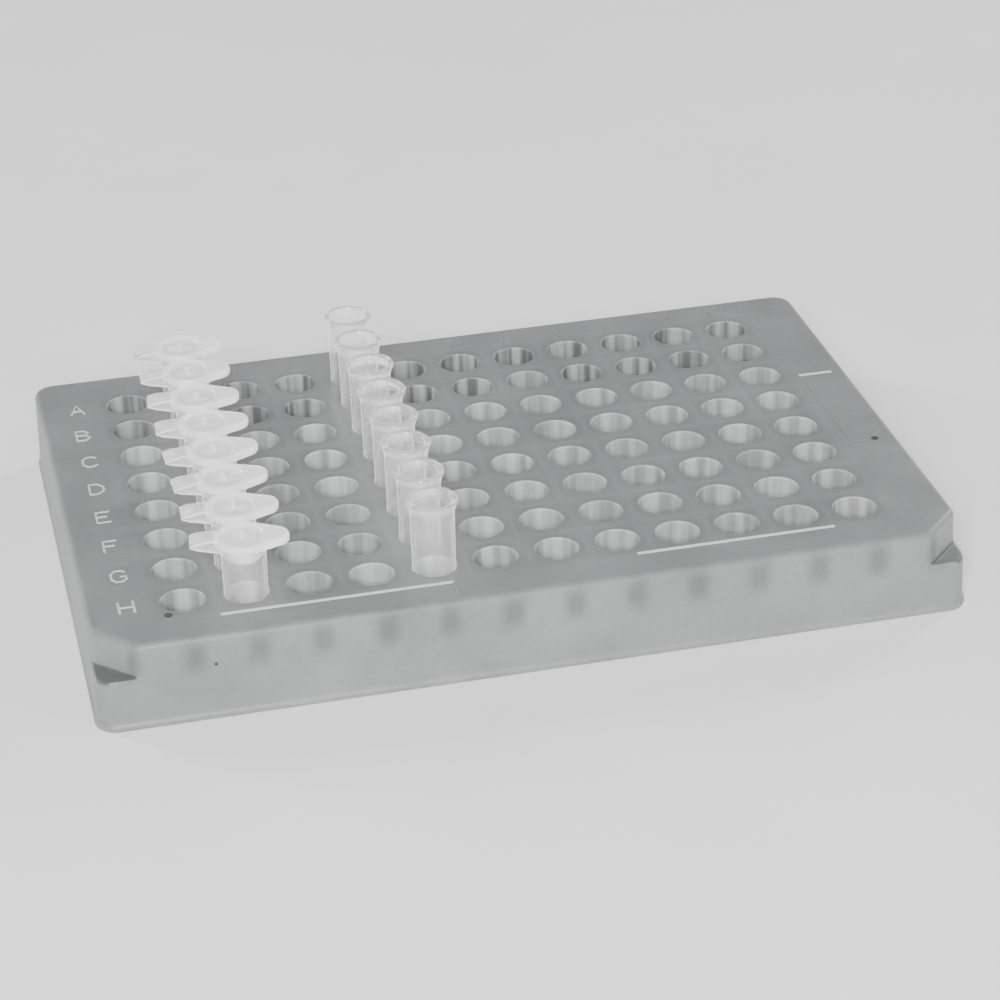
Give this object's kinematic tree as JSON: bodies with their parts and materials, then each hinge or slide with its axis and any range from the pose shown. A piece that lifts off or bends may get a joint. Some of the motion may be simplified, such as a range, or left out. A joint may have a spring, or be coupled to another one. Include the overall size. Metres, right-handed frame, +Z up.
{
  "type": "pcr tube rack",
  "caption": "Shallow translucent tray with a lettered and numbered grid of round sockets, holding a column of capped reaction tubes and a column of open ones.",
  "frame": {"origin": "middle of the base on the surface it stands on", "axes": "+X along the numbered side from column 1 to column 12, +Y towards row A, +Z up"},
  "size_m": [0.1278, 0.0854, 0.024],
  "materials": {
    "rack_plastic": "frosted natural polypropylene, softly translucent",
    "tube_plastic": "clear thin-walled polypropylene",
    "cap_plastic": "clear to milky polypropylene"
  },
  "bodies": {
    "rack": {"rack_frame": "rack_plastic", "socket_column_01": "rack_plastic", "socket_column_02": "rack_plastic", "socket_column_03": "rack_plastic", "socket_column_04": "rack_plastic", "socket_column_05": "rack_plastic", "socket_column_06": "rack_plastic", "socket_column_07": "rack_plastic", "socket_column_08": "rack_plastic", "socket_column_09": "rack_plastic", "socket_column_10": "rack_plastic", "socket_column_11": "rack_plastic", "socket_column_12": "rack_plastic", "seat_rail_01": "rack_plastic", "seat_rail_02": "rack_plastic", "seat_rail_03": "rack_plastic", "seat_rail_04": "rack_plastic", "seat_rail_05": "rack_plastic", "seat_rail_06": "rack_plastic", "seat_rail_07": "rack_plastic", "seat_rail_08": "rack_plastic", "seat_rail_09": "rack_plastic"},
    "tube_a2": {"tube_a2": "tube_plastic"},
    "cap_a2": {"cap_a2": "cap_plastic"},
    "tube_b2": {"tube_b2": "tube_plastic"},
    "cap_b2": {"cap_b2": "cap_plastic"},
    "tube_c2": {"tube_c2": "tube_plastic"},
    "cap_c2": {"cap_c2": "cap_plastic"},
    "tube_d2": {"tube_d2": "tube_plastic"},
    "cap_d2": {"cap_d2": "cap_plastic"},
    "tube_e2": {"tube_e2": "tube_plastic"},
    "cap_e2": {"cap_e2": "cap_plastic"},
    "tube_f2": {"tube_f2": "tube_plastic"},
    "cap_f2": {"cap_f2": "cap_plastic"},
    "tube_g2": {"tube_g2": "tube_plastic"},
    "cap_g2": {"cap_g2": "cap_plastic"},
    "tube_h2": {"tube_h2": "tube_plastic"},
    "cap_h2": {"cap_h2": "cap_plastic"},
    "open_tube_a5": {"open_tube_a5": "tube_plastic"},
    "open_tube_b5": {"open_tube_b5": "tube_plastic"},
    "open_tube_c5": {"open_tube_c5": "tube_plastic"},
    "open_tube_d5": {"open_tube_d5": "tube_plastic"},
    "open_tube_e5": {"open_tube_e5": "tube_plastic"},
    "open_tube_f5": {"open_tube_f5": "tube_plastic"},
    "open_tube_g5": {"open_tube_g5": "tube_plastic"},
    "open_tube_h5": {"open_tube_h5": "tube_plastic"}
  },
  "joints": [
    {"name": "tube_a2_lift", "type": "slide", "parent": "rack", "child": "tube_a2", "axis": [0, 0, 1], "range_m": [0, 0.025]},
    {"name": "cap_a2_hinge", "type": "hinge", "parent": "tube_a2", "child": "cap_a2", "pos_m": [-0.04765, 0.03128, 0.02165], "axis": [0.0314, -0.9995, 0], "range_deg": [0, 170]},
    {"name": "tube_b2_lift", "type": "slide", "parent": "rack", "child": "tube_b2", "axis": [0, 0, 1], "range_m": [0, 0.025]},
    {"name": "cap_b2_hinge", "type": "hinge", "parent": "tube_b2", "child": "cap_b2", "pos_m": [-0.04764, 0.0228, 0.02165], "axis": [-0.0419, -0.9991, 0], "range_deg": [0, 170]},
    {"name": "tube_c2_lift", "type": "slide", "parent": "rack", "child": "tube_c2", "axis": [0, 0, 1], "range_m": [0, 0.025]},
    {"name": "cap_c2_hinge", "type": "hinge", "parent": "tube_c2", "child": "cap_c2", "pos_m": [-0.0476, 0.01432, 0.02165], "axis": [-0.1149, -0.9934, 0], "range_deg": [0, 170]},
    {"name": "tube_d2_lift", "type": "slide", "parent": "rack", "child": "tube_d2", "axis": [0, 0, 1], "range_m": [0, 0.025]},
    {"name": "cap_d2_hinge", "type": "hinge", "parent": "tube_d2", "child": "cap_d2", "pos_m": [-0.04764, 0.00487, 0.02165], "axis": [-0.0523, -0.9986, 0], "range_deg": [0, 170]},
    {"name": "tube_e2_lift", "type": "slide", "parent": "rack", "child": "tube_e2", "axis": [0, 0, 1], "range_m": [0, 0.025]},
    {"name": "cap_e2_hinge", "type": "hinge", "parent": "tube_e2", "child": "cap_e2", "pos_m": [-0.04765, -0.00462, 0.02165], "axis": [0.0175, -0.9998, 0], "range_deg": [0, 170]},
    {"name": "tube_f2_lift", "type": "slide", "parent": "rack", "child": "tube_f2", "axis": [0, 0, 1], "range_m": [0, 0.025]},
    {"name": "cap_f2_hinge", "type": "hinge", "parent": "tube_f2", "child": "cap_f2", "pos_m": [-0.04765, -0.0136, 0.02165], "axis": [0.014, -0.9999, 0], "range_deg": [0, 170]},
    {"name": "tube_g2_lift", "type": "slide", "parent": "rack", "child": "tube_g2", "axis": [0, 0, 1], "range_m": [0, 0.025]},
    {"name": "cap_g2_hinge", "type": "hinge", "parent": "tube_g2", "child": "cap_g2", "pos_m": [-0.04764, -0.02208, 0.02165], "axis": [-0.0593, -0.9982, 0], "range_deg": [0, 170]},
    {"name": "tube_h2_lift", "type": "slide", "parent": "rack", "child": "tube_h2", "axis": [0, 0, 1], "range_m": [0, 0.025]},
    {"name": "cap_h2_hinge", "type": "hinge", "parent": "tube_h2", "child": "cap_h2", "pos_m": [-0.04759, -0.03055, 0.02165], "axis": [-0.1323, -0.9912, 0], "range_deg": [0, 170]},
    {"name": "open_tube_a5_lift", "type": "slide", "parent": "rack", "child": "open_tube_a5", "axis": [0, 0, 1], "range_m": [0, 0.025]},
    {"name": "open_tube_b5_lift", "type": "slide", "parent": "rack", "child": "open_tube_b5", "axis": [0, 0, 1], "range_m": [0, 0.025]},
    {"name": "open_tube_c5_lift", "type": "slide", "parent": "rack", "child": "open_tube_c5", "axis": [0, 0, 1], "range_m": [0, 0.025]},
    {"name": "open_tube_d5_lift", "type": "slide", "parent": "rack", "child": "open_tube_d5", "axis": [0, 0, 1], "range_m": [0, 0.025]},
    {"name": "open_tube_e5_lift", "type": "slide", "parent": "rack", "child": "open_tube_e5", "axis": [0, 0, 1], "range_m": [0, 0.025]},
    {"name": "open_tube_f5_lift", "type": "slide", "parent": "rack", "child": "open_tube_f5", "axis": [0, 0, 1], "range_m": [0, 0.025]},
    {"name": "open_tube_g5_lift", "type": "slide", "parent": "rack", "child": "open_tube_g5", "axis": [0, 0, 1], "range_m": [0, 0.025]},
    {"name": "open_tube_h5_lift", "type": "slide", "parent": "rack", "child": "open_tube_h5", "axis": [0, 0, 1], "range_m": [0, 0.025]}
  ]
}
